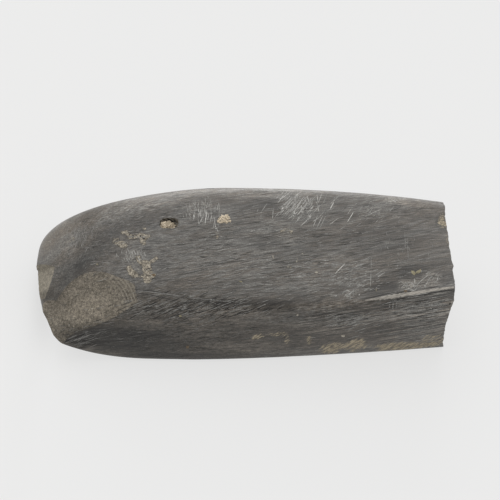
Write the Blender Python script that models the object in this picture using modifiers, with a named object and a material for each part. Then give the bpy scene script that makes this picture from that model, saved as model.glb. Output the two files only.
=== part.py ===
"""A polished stone axe head with a broken butt, lying on its flatter face.

The head is one stone. A box, cut into a grid, is ground to shape by functions of
the distance behind the cutting edge. Turned and rounded cutters then take the
flake, the chip and the small void out of it. Metres, +Z up, the cutting edge at
-X, the broken butt at +X, and the origin on the table under the middle of the box.
"""

import math

import bmesh
import bpy
from mathutils import Vector, noise

MM = 0.001
HEAD = "axe_head"

# The head in plan
LENGTH = 113.2 * MM
WIDTH = 40.9 * MM
EDGE_WIDTH = 38.4 * MM
BUTT_WIDTH = 31.8 * MM
WIDEST_AT = 45.0 * MM
EDGE_TAPER = 1.25
BUTT_TAPER = 1.42
EDGE_BOW = 3.0 * MM
EDGE_BOW_POWER = 8.0
EDGE_BOW_REACH = 27.0 * MM
EDGE_LOSS = 4.9 * MM
EDGE_LOSS_SPAN = (-0.45, 1.0)
EDGE_LOSS_REACH = 45.0 * MM

# The head in side view: its far side stands higher than its near side
EDGE_HEIGHT = 8.0 * MM
EDGE_BLUNT = 0.5 * MM
FAR_HEIGHT = 30.6 * MM
FAR_BUTT_HEIGHT = 27.4 * MM
NEAR_HEIGHT = 21.2 * MM
NEAR_BUTT_HEIGHT = 26.2 * MM
NEAR_RISE_FROM = 55.0 * MM
NEAR_RISE_POWER = 1.6
UPPER_BEVEL = 56.0 * MM
UPPER_BEVEL_POWER = 2.2
UPPER_BEVEL_ROUND = 0.7
NEAR_BEVEL_POWER = 3.0
NEAR_BEVEL_ROUND = 1.35
LOWER_BEVEL = 31.5 * MM
LOWER_BEVEL_POWER = 1.9

# The faces across the head
UPPER_CROWN = 0.8 * MM
SIDE_BULGE = 0.4 * MM
NEAR_BATTER = 3.4 * MM
NEAR_BATTER_SPAN = (34.0 * MM, 95.0 * MM)
LOWER_LIFT = 0.5 * MM
LOWER_FLAT = 0.7
GROUND_OFF = 0.12 * MM

# How square each long corner is, at the bit and at the butt
FAR_SHOULDER = (5.5, 12.0)
NEAR_SHOULDER = (5.5, 40.0)
FAR_LOWER_CORNER = (7.0, 16.0)
NEAR_LOWER_CORNER = (22.0, 40.0)
SQUARE_FROM = 30.0 * MM

# The broken butt
BREAK_OVERHANG = 0.6 * MM
BREAK_SKEW = 0.7 * MM
BREAK_DISH = 0.65 * MM
BREAK_DISH_AT = 0.38
BREAK_DISH_REACH = 0.38
BREAK_REACH = 16.0 * MM
BREAK_ROUGH = 0.45 * MM
BREAK_GRAIN = 4.2 * MM
BREAK_SEED = 120.45

# The flake scar at the near corner of the bit. Its floor is turned about the point
# of the blow, just off the edge: a pit there, then a plane, then a fall to the tip.
SCAR_BLOW = (-57.0 * MM, -10.0 * MM, 6.5 * MM)
SCAR_ROLL = math.radians(25.9)
SCAR_LEAN = math.radians(-26.7)
SCAR_REACH = 38.0 * MM
SCAR_TOP = 16.0 * MM
PIT_REACH = 9.5 * MM
PIT_DEPTH = 1.4 * MM
FALL_FROM = 28.0 * MM
FALL = 0.7 * MM

# The chip on the cutting edge and the void in the upper face
CHIP_SIZE = (16.0 * MM, 9.2 * MM, 6.0 * MM)
CHIP_FLARE = 5.0 * MM
CHIP_CORNER = (-49.6 * MM, 1.6 * MM, 14.9 * MM)
CHIP_TURN = (math.radians(31.0), math.radians(-43.4), math.radians(-33.4))
VOID_SIZE = (5.2 * MM, 3.3 * MM, 3.6 * MM)
VOID_CENTRE = (-18.4 * MM, 6.7 * MM, 26.8 * MM)
VOID_TURN = (0.0, 0.0, math.radians(-4.0))

# The grid
ALONG_CELLS = 44
ACROSS_CELLS = 14
UP_CELLS = 8
EDGE_CROWDING = 1.35


def blend(low, high, share):
    return low + (high - low) * share


def eased(value, start, end):
    """0 before start, 1 past end, and smooth between."""
    share = min(max((value - start) / (end - start), 0.0), 1.0)
    return share * share * (3.0 - 2.0 * share)


def half_width(behind):
    if behind > WIDEST_AT:
        share = (behind - WIDEST_AT) / (LENGTH - WIDEST_AT)
        return blend(WIDTH, BUTT_WIDTH, share**BUTT_TAPER) / 2
    share = 1.0 - behind / WIDEST_AT
    return blend(WIDTH, EDGE_WIDTH, share**EDGE_TAPER) / 2


def bevel_rise(behind, power, round_off):
    """How far the upper face has risen from the cutting edge, 0 to 1."""
    left = max(1.0 - behind / UPPER_BEVEL, 0.0)
    return (1.0 - left**power) ** round_off


def upper_heights(behind):
    """Heights of the near and the far long corner above the table."""
    share = behind / LENGTH
    far = blend(FAR_HEIGHT, FAR_BUTT_HEIGHT, share**4)
    rise = max(behind - NEAR_RISE_FROM, 0.0) / (LENGTH - NEAR_RISE_FROM)
    near = blend(NEAR_HEIGHT, NEAR_BUTT_HEIGHT, rise**NEAR_RISE_POWER)
    start = EDGE_HEIGHT + EDGE_BLUNT / 2
    near_rise = bevel_rise(behind, NEAR_BEVEL_POWER, NEAR_BEVEL_ROUND)
    far_rise = bevel_rise(behind, UPPER_BEVEL_POWER, UPPER_BEVEL_ROUND)
    return blend(start, near, near_rise), blend(start, far, far_rise)


def lower_height(behind):
    left = max(1.0 - behind / LOWER_BEVEL, 0.0)
    return (EDGE_HEIGHT - EDGE_BLUNT / 2) * left**LOWER_BEVEL_POWER


def squareness(behind, across, up):
    """The power of the rounded square in this quarter of the section."""
    if up > 0.0:
        corner = FAR_SHOULDER if across > 0.0 else NEAR_SHOULDER
    else:
        corner = FAR_LOWER_CORNER if across > 0.0 else NEAR_LOWER_CORNER
    return blend(corner[0], corner[1], eased(behind, SQUARE_FROM, LENGTH))


def rounded(across, up, power):
    """Moves a point of the square -1 to 1 into a square with round corners."""
    largest = max(abs(across), abs(up))
    if largest == 0.0:
        return across, up
    length = (abs(across) ** power + abs(up) ** power) ** (1.0 / power)
    return across * largest / length, up * largest / length


def edge_step(behind, across):
    """The cutting edge bows back to both corners, and is worn back at the near one."""
    bow = EDGE_BOW * abs(across) ** EDGE_BOW_POWER
    bow *= max(1.0 - behind / EDGE_BOW_REACH, 0.0) ** 2
    loss = EDGE_LOSS * eased(-across, *EDGE_LOSS_SPAN)
    loss *= max(1.0 - behind / EDGE_LOSS_REACH, 0.0) ** 2
    return bow + loss


def break_step(behind, y, z):
    """How far the rough break moves the stone's end, which it does only near it."""
    across = y / BUTT_WIDTH
    up = z / NEAR_BUTT_HEIGHT
    slope = BREAK_OVERHANG * (up - 1.0) - BREAK_SKEW * (across + 0.5)
    dish = BREAK_DISH * max(1.0 - ((up - BREAK_DISH_AT) / BREAK_DISH_REACH) ** 2, 0.0)
    grain = Vector((BREAK_SEED, y / BREAK_GRAIN, z / BREAK_GRAIN))
    rough = BREAK_ROUGH * (noise.noise(grain) + 0.5 * noise.noise(grain * 2.3))
    return (slope + rough - dish) * eased(behind, LENGTH - BREAK_REACH, LENGTH)


def ground_point(along, across, up):
    """The place on the head of a point of the blank, whose grid runs -1 to 1."""
    behind = LENGTH * ((along + 1.0) / 2) ** EDGE_CROWDING
    across, up = rounded(across, up, squareness(behind, across, up))
    near, far = upper_heights(behind)
    top = blend(near, far, (across + 1.0) / 2) + UPPER_CROWN * (1.0 - across**2)
    lift = max(abs(across) - LOWER_FLAT, 0.0) / (1.0 - LOWER_FLAT)
    low = lower_height(behind) + LOWER_LIFT * lift**2
    half = half_width(behind)
    batter = NEAR_BATTER * (1.0 - eased(behind, *NEAR_BATTER_SPAN)) * (up + 1.0) / 2
    y = across * (half - SIDE_BULGE * up**2) + max(-across, 0.0) * batter
    z = max(blend(low, top, (up + 1.0) / 2) - GROUND_OFF, 0.0)
    x = behind + edge_step(behind, across) + break_step(behind, y, z)
    return Vector((x - LENGTH / 2, y, z))


def blank():
    """A box two units a side, as a grid of cells."""
    bm = bmesh.new()
    bmesh.ops.create_cube(bm, size=2.0)
    for axis, cells in enumerate((ALONG_CELLS, ACROSS_CELLS, UP_CELLS)):
        whole = [e for e in bm.edges if abs(e.verts[0].co[axis] - e.verts[1].co[axis]) > 1.0]
        bmesh.ops.subdivide_edges(bm, edges=whole, cuts=cells - 1, use_grid_fill=True)
    return bm


def stone(name, colour, roughness):
    material = bpy.data.materials.new(name)
    material.use_nodes = True
    surface = material.node_tree.nodes["Principled BSDF"]
    surface.inputs["Base Color"].default_value = (*colour, 1.0)
    surface.inputs["Roughness"].default_value = roughness
    surface.inputs["Metallic"].default_value = 0.0
    return material


def middle_in_plan(bm):
    low = Vector([min(vert.co[axis] for vert in bm.verts) for axis in range(2)])
    high = Vector([max(vert.co[axis] for vert in bm.verts) for axis in range(2)])
    return ((low + high) / 2).to_3d()


def finished(bm, name, material, collection):
    mesh = bpy.data.meshes.new(name)
    bmesh.ops.recalc_face_normals(bm, faces=bm.faces)
    bm.to_mesh(mesh)
    bm.free()
    mesh.materials.append(material)
    obj = bpy.data.objects.new(name, mesh)
    collection.objects.link(obj)
    return obj


def hidden(obj):
    obj.hide_render = True
    obj.display_type = "WIRE"
    return obj


def scar_floor(out):
    """Height of the scar's floor, out from the point of the blow."""
    pit = PIT_DEPTH * max(1.0 - (out / PIT_REACH) ** 2, 0.0)
    return -pit - FALL * eased(out, FALL_FROM, SCAR_REACH)


def scar_cutter(material, collection):
    """A turned block whose underside is the floor of the flake scar."""
    steps = 24
    profile = [(0.0, SCAR_TOP), (SCAR_REACH, SCAR_TOP)]
    for step in range(steps + 1):
        out = SCAR_REACH * (1.0 - step / steps)
        profile.append((out, scar_floor(out)))
    bm = bmesh.new()
    verts = [bm.verts.new((out, 0.0, height)) for out, height in profile]
    for first, second in zip(verts, verts[1:]):
        bm.edges.new((first, second))
    obj = finished(bm, "scar_cutter", material, collection)
    turn = obj.modifiers.new("turn", "SCREW")
    turn.steps = turn.render_steps = 64
    turn.use_merge_vertices = True
    turn.merge_threshold = 0.00001
    obj.location = SCAR_BLOW
    obj.rotation_euler = (SCAR_ROLL, SCAR_LEAN, 0.0)
    return hidden(obj)


def round_cutter(name, size, centre, turn, material, collection):
    bm = bmesh.new()
    bmesh.ops.create_icosphere(bm, subdivisions=3, radius=0.5)
    bmesh.ops.scale(bm, vec=size, verts=bm.verts)
    obj = finished(bm, name, material, collection)
    obj.location = centre
    obj.rotation_euler = turn
    return hidden(obj)


def block_cutter(name, size, flare, corner, turn, material, collection):
    """A turned block whose far side leans out by flare.

    Its lowest corner at the end of both its long sides is given.
    """
    bm = bmesh.new()
    bmesh.ops.create_cube(bm, size=1.0)
    bmesh.ops.translate(bm, vec=(-0.5, -0.5, 0.5), verts=bm.verts)
    bmesh.ops.scale(bm, vec=size, verts=bm.verts)
    far_top = [vert for vert in bm.verts if vert.co.z > 0.0 and vert.co.y > -size[1] / 2]
    bmesh.ops.translate(bm, vec=(0.0, flare, 0.0), verts=far_top)
    obj = finished(bm, name, material, collection)
    obj.location = corner
    obj.rotation_euler = turn
    return hidden(obj)


def cut(obj, cutter):
    modifier = obj.modifiers.new(cutter.name, "BOOLEAN")
    modifier.operation = "DIFFERENCE"
    modifier.solver = "EXACT"
    modifier.object = cutter


def new_collection(name):
    collection = bpy.data.collections.new(name)
    bpy.context.scene.collection.children.link(collection)
    return collection


def build():
    for obj in list(bpy.data.objects):
        bpy.data.objects.remove(obj)
    parts = new_collection(HEAD)
    cutters = new_collection("cutters")
    polished = stone("polished_stone", (0.13, 0.125, 0.115), 0.42)
    broken = stone("broken_stone", (0.19, 0.165, 0.135), 0.85)

    bm = blank()
    for vert in bm.verts:
        vert.co = ground_point(*vert.co)
    middle = middle_in_plan(bm)
    bmesh.ops.translate(bm, vec=-middle, verts=bm.verts)
    head = finished(bm, HEAD, polished, parts)

    scar = scar_cutter(broken, cutters)
    chip = block_cutter(
        "chip_cutter", CHIP_SIZE, CHIP_FLARE, CHIP_CORNER, CHIP_TURN, broken, cutters
    )
    void = round_cutter("void_cutter", VOID_SIZE, VOID_CENTRE, VOID_TURN, broken, cutters)
    for cutter in (scar, chip, void):
        cutter.location -= middle
        cut(head, cutter)


build()
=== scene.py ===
"""The looks of the polished stone axe head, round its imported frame.

The stone is ground to the same shape as the CAD solid on a finer grid, and cut by
finer cutters. Its surface then gets relief, marks placed by photograph pixels, and
procedural materials. Metres, +Z up, the cutting edge at -X and the broken butt at +X.
"""

import math
import random

import bmesh
import bpy
import numpy as np
from mathutils import Euler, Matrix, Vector, noise
from mathutils.bvhtree import BVHTree

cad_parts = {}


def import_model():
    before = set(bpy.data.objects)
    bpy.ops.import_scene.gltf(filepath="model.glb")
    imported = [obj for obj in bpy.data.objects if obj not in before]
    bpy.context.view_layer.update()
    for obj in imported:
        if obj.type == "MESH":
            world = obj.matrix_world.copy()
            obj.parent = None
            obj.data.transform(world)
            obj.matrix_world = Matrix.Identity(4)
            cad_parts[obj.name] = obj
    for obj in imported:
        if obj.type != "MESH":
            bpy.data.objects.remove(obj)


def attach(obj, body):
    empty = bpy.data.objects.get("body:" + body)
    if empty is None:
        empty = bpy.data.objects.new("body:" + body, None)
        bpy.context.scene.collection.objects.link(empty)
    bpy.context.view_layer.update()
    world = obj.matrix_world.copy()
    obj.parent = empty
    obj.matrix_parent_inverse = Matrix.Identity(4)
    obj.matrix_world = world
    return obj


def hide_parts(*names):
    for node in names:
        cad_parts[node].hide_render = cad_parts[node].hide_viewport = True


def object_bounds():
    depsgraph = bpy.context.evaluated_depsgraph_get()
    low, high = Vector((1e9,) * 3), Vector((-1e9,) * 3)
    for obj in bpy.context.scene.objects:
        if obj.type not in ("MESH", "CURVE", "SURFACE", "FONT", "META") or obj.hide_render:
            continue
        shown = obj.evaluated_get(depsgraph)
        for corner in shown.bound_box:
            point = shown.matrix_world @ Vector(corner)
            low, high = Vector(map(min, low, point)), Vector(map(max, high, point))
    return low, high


MM = 0.001
TINY = 1e-9
NODE = "axe_head"
BODY = "root"

# The head in plan, as in the CAD
LENGTH = 113.2 * MM
WIDTH = 40.9 * MM
EDGE_WIDTH = 38.4 * MM
BUTT_WIDTH = 31.8 * MM
WIDEST_AT = 45.0 * MM
EDGE_TAPER = 1.25
BUTT_TAPER = 1.42
EDGE_BOW = 3.0 * MM
EDGE_BOW_POWER = 8.0
EDGE_BOW_REACH = 27.0 * MM
EDGE_LOSS = 4.9 * MM
EDGE_LOSS_SPAN = (-0.45, 1.0)
EDGE_LOSS_REACH = 45.0 * MM

# The head in side view, as in the CAD
EDGE_HEIGHT = 8.0 * MM
EDGE_BLUNT = 0.5 * MM
FAR_HEIGHT = 30.6 * MM
FAR_BUTT_HEIGHT = 27.4 * MM
FAR_FALL_POWER = 4
NEAR_HEIGHT = 21.2 * MM
NEAR_BUTT_HEIGHT = 26.2 * MM
NEAR_RISE_FROM = 55.0 * MM
NEAR_RISE_POWER = 1.6
UPPER_BEVEL = 56.0 * MM
UPPER_BEVEL_POWER = 2.2
UPPER_BEVEL_ROUND = 0.7
NEAR_BEVEL_POWER = 3.0
NEAR_BEVEL_ROUND = 1.35
LOWER_BEVEL = 31.5 * MM
LOWER_BEVEL_POWER = 1.9

# The faces across the head, as in the CAD
UPPER_CROWN = 0.8 * MM
SIDE_BULGE = 0.4 * MM
NEAR_BATTER = 3.4 * MM
NEAR_BATTER_SPAN = (34.0 * MM, 95.0 * MM)
LOWER_LIFT = 0.5 * MM
LOWER_FLAT = 0.7
GROUND_OFF = 0.12 * MM
FAR_SHOULDER = (5.5, 12.0)
NEAR_SHOULDER = (5.5, 40.0)
FAR_LOWER_CORNER = (7.0, 16.0)
NEAR_LOWER_CORNER = (22.0, 40.0)
SQUARE_FROM = 30.0 * MM

# The broken butt, as in the CAD, and the finer teeth of its rim
BREAK_OVERHANG = 0.6 * MM
BREAK_SKEW = 0.7 * MM
BREAK_DISH = 0.65 * MM
BREAK_DISH_AT = 0.38
BREAK_DISH_REACH = 0.38
BREAK_REACH = 16.0 * MM
BREAK_ROUGH = 0.45 * MM
BREAK_GRAIN = 4.2 * MM
BREAK_SEED = 120.45
BREAK_FINER = 2.3
BREAK_FINER_SHARE = 0.5
RIM_REACH = 3.0 * MM
RIM_ROUGH = 0.22 * MM
RIM_GRAIN = 2.6 * MM
RIM_FRACTAL = (0.9, 2.3, 4)

# The cuts, as in the CAD
SCAR_BLOW = Vector((-57.0, -10.0, 6.5)) * MM
SCAR_ROLL = math.radians(25.9)
SCAR_LEAN = math.radians(-26.7)
SCAR_REACH = 38.0 * MM
SCAR_TOP = 16.0 * MM
PIT_REACH = 9.5 * MM
PIT_DEPTH = 1.4 * MM
FALL_FROM = 28.0 * MM
FALL = 0.7 * MM
CHIP_SIZE = Vector((16.0, 9.2, 6.0)) * MM
CHIP_FLARE = 5.0 * MM
CHIP_CORNER = Vector((-49.6, 1.6, 14.9)) * MM
CHIP_TURN = Euler((math.radians(31.0), math.radians(-43.4), math.radians(-33.4)))
VOID_SIZE = Vector((5.2, 3.3, 3.6)) * MM
VOID_CENTRE = Vector((-18.4, 6.7, 26.8)) * MM
VOID_POWER = 3.2
VOID_TURN = Euler((0.0, 0.0, math.radians(-4.0)))

# The finer grids
ALONG_CELLS = 290
ACROSS_CELLS = 78
UP_CELLS = 36
EDGE_CROWDING = 1.15
SCAR_CELLS = (150, 132)
SCAR_HALF_WIDTH = 17.0 * MM
CHIP_CELLS = (64, 40, 16)
BALL_FINENESS = 4

# The photograph: its size in pixels, the camera's place, and its lens
PHOTO_SIDE = 500
ELEVATION = math.radians(50.0)
CAMERA_AIM = Vector((3.26, 5.0, 17.4)) * MM
CAMERA_DISTANCE = 346.4 * MM
LENS = 90.9
SENSOR = 36.0
NEAREST_SEEN = 10.0 * MM

# Relief
INSET = 0.05 * MM
POLISH_WAVE = 0.03 * MM
POLISH_GRAIN = 6.0 * MM
FRACTURE = 0.09 * MM
BUTT_FRACTURE = 0.17 * MM
FRACTURE_GRAIN = 1.2 * MM
FRACTURE_FRACTAL = (0.8, 2.0, 4)
RIPPLE_CENTRE = (78.0, 326.0)
RIPPLE_LENGTH = 0.9 * MM
RIPPLE_DEPTH = 0.06 * MM
RIPPLE_SPAN = (13.0 * MM, 16.5 * MM)
RIPPLE_X_SPAN = (-40.0 * MM, -32.0 * MM)
HOLLOW = (416, 281, 60, 17, 10, 1)
HOLLOW_DEPTH = 0.3 * MM
FACES_UP = 0.7
SPOT_RAMP = 0.6
CONTACT_DIRT = 0.8 * MM
CONTACT_STAIN = 0.6
SHARP_ANGLE = math.radians(38.0)

# Colours
BROWN_STONE = (0.09, 0.0765, 0.0617)
GREY_STONE = (0.0883, 0.0838, 0.0757)
DARK_BREAK = (0.152, 0.132, 0.103)
LIGHT_BREAK = (0.187, 0.164, 0.13)
# Painted highlight on the crests of the scar's ripples
CREST_HIGHLIGHT = (0.27, 0.243, 0.2)
CHIP_COLOUR = (0.25, 0.225, 0.178)
SCUFF = (0.3, 0.281, 0.242)
STAIN = (0.25, 0.213, 0.152)
DARK_CRUST = (0.1, 0.085, 0.064)
LIGHT_CRUST = (0.46, 0.408, 0.325)
DARK_SAND = (0.4, 0.322, 0.222)
LIGHT_SAND = (0.8, 0.695, 0.54)
# The ridge's strip: its wear and painted highlight
DARK_WORN_HIGHLIGHT = (0.155, 0.142, 0.122)
LIGHT_WORN_HIGHLIGHT = (0.345, 0.318, 0.278)
# Also the colour of the lines of painted shade along creases
DARK_SCRATCH_AND_CREASE_SHADE = (0.022, 0.02, 0.018)
LIGHT_SCRATCH = (0.6, 0.588, 0.55)
PALE_FLECK = (0.5, 0.46, 0.38)
YELLOW_FLECK = (0.3, 0.265, 0.17)
BROWN_FLECK = (0.16, 0.115, 0.07)
DARK_FLECK = (0.015, 0.013, 0.011)

# Lights: azimuth, 0 behind the stone and 90 to its left, elevation, strength and spread
KEY_LIGHT = (25.0, 62.0, 1.3, 70.0)
RIM_LIGHT = (3.0, 14.0, 1.5, 40.0)
WORLD_LIGHT = 0.6

# The floor: its colours and glow in the open and by the cutting edge
FLOOR = (0.145, 0.145, 0.145)
SHADED_FLOOR = (0.42, 0.42, 0.418)
FLOOR_GLOW = (0.68, 0.385)
SHADE_SPAN = (-58.0 * MM, -50.0 * MM)
GLOW_COLOUR = (1.0, 1.0, 0.995, 1.0)
FLOOR_ROUGHNESS = 0.9
FLOOR_HALF = 3.0

# Directions of the grinding marks, in degrees about each axis
NO_TURN = (0, 0, 0)
STREAK_TURN = (0, -3, 13)
SLANT_TURN = (0, -3, 2)
BEVEL_TURN = (0, 0, 64)
COMB_TURN = (0, -11, 5)
SMEAR_TURN = (0, -42, 0)
WORM_TURN = (0, 0, 25)
BEVEL_SPAN = (-47.0 * MM, -30.0 * MM)

# Noises: size of a grain along each axis in millimetres, turn, detail, roughness, offset
GRAINS = {
    "streaks": ((9, 0.24, 0.24), STREAK_TURN, 1, 0.5, 0),
    "slants": ((12, 0.32, 0.32), SLANT_TURN, 1, 0.5, 0.02),
    "bevel": ((3, 0.28, 0.28), BEVEL_TURN, 4, 0.6, 0.03),
    "comb": ((20, 6, 0.4), COMB_TURN, 1, 0.5, 0.06),
    "broad": ((26, 6, 6), STREAK_TURN, 3, 0.6, 0.05),
    "blotches": ((2.6, 1.2, 1.2), STREAK_TURN, 5, 0.7, 0.09),
    "fine": ((0.25, 0.25, 0.25), NO_TURN, 3, 0.65, 0),
    "lumps": ((0.9, 0.8, 0.8), NO_TURN, 6, 0.85, 0.11),
    "crumbs": ((0.45, 0.45, 0.45), NO_TURN, 4, 0.75, 0.12),
    "worms": ((0.7, 0.34, 0.34), WORM_TURN, 3, 0.6, 0.07),
    "smears": ((1.8, 0.5, 0.45), SMEAR_TURN, 4, 0.68, 0.13),
    "broken": ((0.3, 0.3, 0.3), NO_TURN, 4, 0.7, 0),
    "coarse": ((0.8, 0.8, 0.8), NO_TURN, 4, 0.65, 0.04),
    "specks": ((0.3, 0.3, 0.3), NO_TURN, 1, 0.55, 0.08),
    "patches": ((3.5, 3.5, 3.5), NO_TURN, 3, 0.55, 0),
    "sand": ((0.28, 0.28, 0.28), NO_TURN, 4, 0.7, 0),
    "worn": ((2.4, 0.3, 0.3), STREAK_TURN, 4, 0.65, 0),
    "scratched_and_crease_shade": ((0.5, 0.5, 0.5), NO_TURN, 2, 0.55, 0),
}

# Ranges: a noise from the first number to the second becomes the third to the fourth, or
# 0 to 1. The first ones multiply a colour.
LINE_SHADES = (0.3, 0.7, 0.66, 1.36)
SLANT_SHADES = (0.3, 0.7, 0.72, 1.3)
COMB_SHADES = (0.3, 0.7, 0.36, 1.8)
BLOTCH_SHADES = (0.3, 0.7, 0.74, 1.26)
FINE_SHADES = (0.3, 0.7, 0.66, 1.34)
BROAD_SHADES = (0.35, 0.65, 0.92, 1.08)
BROWNED_SHADES = (0.35, 0.65, 0.74, 1.26)
STAIN_SHADES = (0.36, 0.66, 0.5, 1.5)
CRUST_SHADES = (0.35, 0.65, 0.55, 1.3)
BROKEN_SHADES = (0.32, 0.68, 0.58, 1.5)
COARSE_SHADES = (0.3, 0.7, 0.6, 1.4)
CHIP_SHADES = (0.3, 0.7, 0.72, 1.28)
SCRATCH_SHADES = (0.3, 0.7, 0.7, 1.3)
DIRT_SHADES = (0.3, 0.7, 0.6, 1.3)
BEVEL_LINES = (0.2, 0.8, 0.4, 0.6)
BROWNING = (0, 1, 1, 0.25)
GREY_HUES = (0.42, 0.58)
HUE_SHARE = 0.5
LUMP_HEIGHTS = (0.25, 0.75, -0.7, 0.15)
CRUST_EDGE = (0.12, 0.5)
CRUMB_HUES = (0.36, 0.64)
SCUFF_EDGE = (0.48, 0.62)
SMEAR_HEIGHTS = (0.3, 0.7, -0.7, 0.2)
STAIN_EDGE = (0.2, 0.85)
PATCH_HUES = (0.3, 0.7)
CREST_HIGHLIGHT_EDGE = (0.3, 0.5)
SPECK_EDGE = (0.7, 0.78)
SAND_HUES = (0.35, 0.6)
WORN_HUES = (0.32, 0.62)

# Roughness of each surface, and the depth of its bump
POLISH_ROUGHNESS = (0.3, 0.7, 0.34, 0.5)
DIRT_ROUGHENS = 0.4
BROKEN_ROUGHNESS = 0.88
SAND_ROUGHNESS = 0.95
DIRT_ROUGHNESS = 0.95
WORN_ROUGHNESS = 0.6
SCRATCH_ROUGHNESS = 0.8
POLISH_BUMP = 0.03 * MM
SLANT_SHARE = 0.7
FINE_SHARE = 0.5
CRUST_BUMP = 0.12 * MM
BROKEN_BUMP = 0.25 * MM
SAND_BUMP = 0.2 * MM
WORN_BUMP = 0.05 * MM
SCRATCH_BUMP = 0.02 * MM
DIRT_BUMP = 0.1 * MM

# Marks on the photograph, in its pixels: middle, half width, half height, turn in
# degrees, and strength
# Spots that lighten or darken the stone's colour, partly its own tone and partly painted light:
# painted highlight along the far top contour, on the bevel at the cutting edge and along the
# ridge's left end, the upper near side painted lighter than its lower part, and painted shade in
# the valley behind the bevel, in the hollow by the ridge, along the near shoulder, along the foot
# of the near side and on the pit's top wall
TONES_AND_PAINTED_LIGHT = (
    (60, 238, 38, 24, 52, 0.55),
    (98, 248, 46, 15, 42, -0.38),
    (150, 221, 50, 12, 15, -0.25),
    (72, 275, 28, 11, 36, -0.3),
    (130, 340, 100, 20, -5, -0.76),
    (250, 336, 70, 15, 0, -0.2),
    (200, 357, 130, 6, 0, -0.45),
    (220, 315, 40, 9, 8, 0.32),
    (90, 308, 30, 16, 25, 0.32),
    (129, 297, 12, 9, 0, -0.18),
    (152, 293, 30, 5, -7, -0.08),
    (443, 222, 10, 12, 0, -0.5),
    (58, 296, 12, 7, 20, -0.25),
    (47, 294, 9, 8, 30, -0.35),
    (190, 345, 60, 14, 0, 0.18),
    (250, 303, 90, 7, 0, -0.52),
    (165, 199, 60, 9, 13, 0.62),
    (112, 212, 40, 9, 27, 0.38),
    (265, 192, 90, 8, -1, 0.68),
    (385, 199, 75, 8, -7, 0.3),
    (262, 206, 24, 12, 0, -0.28),
    (264, 242, 30, 11, 0, -0.32),
    (288, 239, 14, 6, 0, 0.25),
    (335, 268, 56, 20, 8, 0.26),
    (225, 264, 66, 24, 8, 0.3),
    (385, 240, 60, 20, 0, -0.22),
    (385, 288, 26, 10, 12, -0.52),
    (411, 272, 22, 10, 4, -0.5),
    (446, 279, 12, 9, 0, -0.3),
    (334, 306, 48, 7, 5, 0.75),
    (428, 310, 48, 18, 6, 0.52),
    (425, 334, 50, 12, 4, 0.1),
    (395, 325, 45, 7, 6, -0.15),
    (300, 340, 40, 14, 0, -0.25),
    (168.6, 222.6, 10.5, 5, 0, -1.4),
)
BROWNED = (
    (180, 338, 170, 28, 0, 1.2),
    (235, 308, 110, 15, 5, 0.9),
    (340, 335, 90, 20, 2, 0.8),
    (335, 274, 60, 22, 6, 0.5),
    (265, 232, 40, 20, 0, 0.4),
    (120, 245, 40, 14, 40, 0.5),
    (385, 285, 30, 12, 8, 0.7),
    (425, 280, 30, 14, 5, 0.6),
    (425, 322, 50, 18, 4, 0.5),
    (415, 203, 34, 6, -6, 0.8),
)
COMBED = (
    (418, 310, 62, 24, 7, 1.3),
    (410, 332, 60, 16, 4, 1),
    (340, 320, 60, 20, 10, 0.9),
)
SCUFFS = (
    (409, 285, 14, 7, 5, 0.8),
    (430, 279, 15, 10, 14, 0.48),
    (350, 294, 10, 5, 20, 0.8),
    (392, 200, 13, 5, -8, 0.8),
    (286, 231, 11, 7, 0, 0.6),
    (205, 206, 28, 9, 0, 0.35),
    (303, 207, 32, 16, -10, 0.22),
    (375, 212, 20, 8, 0, 0.35),
    (134, 256, 13, 9, 0, 0.7),
    (135, 268, 10, 10, -30, 0.7),
)
CHIPPED = ((43, 276, 16, 20, 0, 1.6),)
STAINS = (
    (331, 348, 18, 8, 10, 1),
    (356, 345, 18, 9, 12, 0.9),
    (400, 346.5, 40, 6.5, 3, 1.1),
    (434, 340, 18, 10, 0, 0.8),
    (309, 340, 4, 7, -10, 0.9),
    (287, 340, 4, 9, -10, 0.6),
    (258, 337, 10, 4, 15, 0.9),
    (279, 334, 15, 3.5, 3, 0.8),
    (443, 221, 8, 10, 0, 1),
    (448, 237, 5, 9, 0, 0.5),
    (217, 236, 5, 6, 0, 0.6),
    (72, 240, 4, 7, 0, 0.5),
)
CRUSTS = (
    (125, 232.5, 7, 3, 5, 0.8),
    (131.5, 237, 9, 4.5, -8, 0.7),
    (142, 236.5, 8, 5.5, -15, 0.9),
    (148, 236.5, 5, 3, 20, 0.9),
    (143, 242.5, 4.5, 5, 30, 0.8),
    (117, 241.5, 8, 5, 0, 0.7),
    (122.5, 245, 8, 5, -10, 0.9),
    (144.5, 228.5, 3, 3, 0, 0.7),
    (145, 263.5, 6.5, 5.5, -40, 1),
    (147, 269, 6.5, 7, 0, 1.1),
    (148, 275, 7.5, 7, 0, 1.1),
    (147.5, 280, 6, 5, 0, 1),
    (153.5, 275, 4.5, 3.5, 0, 1),
    (151.5, 262, 5, 2.6, 35, 1),
    (155.5, 259, 4.6, 3, 40, 1),
    (129.5, 269, 4.5, 6, 10, 0.9),
    (133.5, 274, 6.5, 5.5, -20, 0.9),
    (138.5, 258, 4.5, 4, 0, 0.8),
    (140, 262.5, 4.5, 3, -40, 0.8),
    (139.5, 276, 5, 3, -20, 0.7),
    (284, 230, 7, 3, 15, 0.8),
    (291, 231.5, 5, 2.6, -25, 0.8),
)
PAINTS = {
    "tone_and_painted_light": TONES_AND_PAINTED_LIGHT,
    "combed": COMBED,
    "browned": BROWNED,
    "scuff": SCUFFS,
    "chip": CHIPPED,
    "crust": CRUSTS,
}

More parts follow.
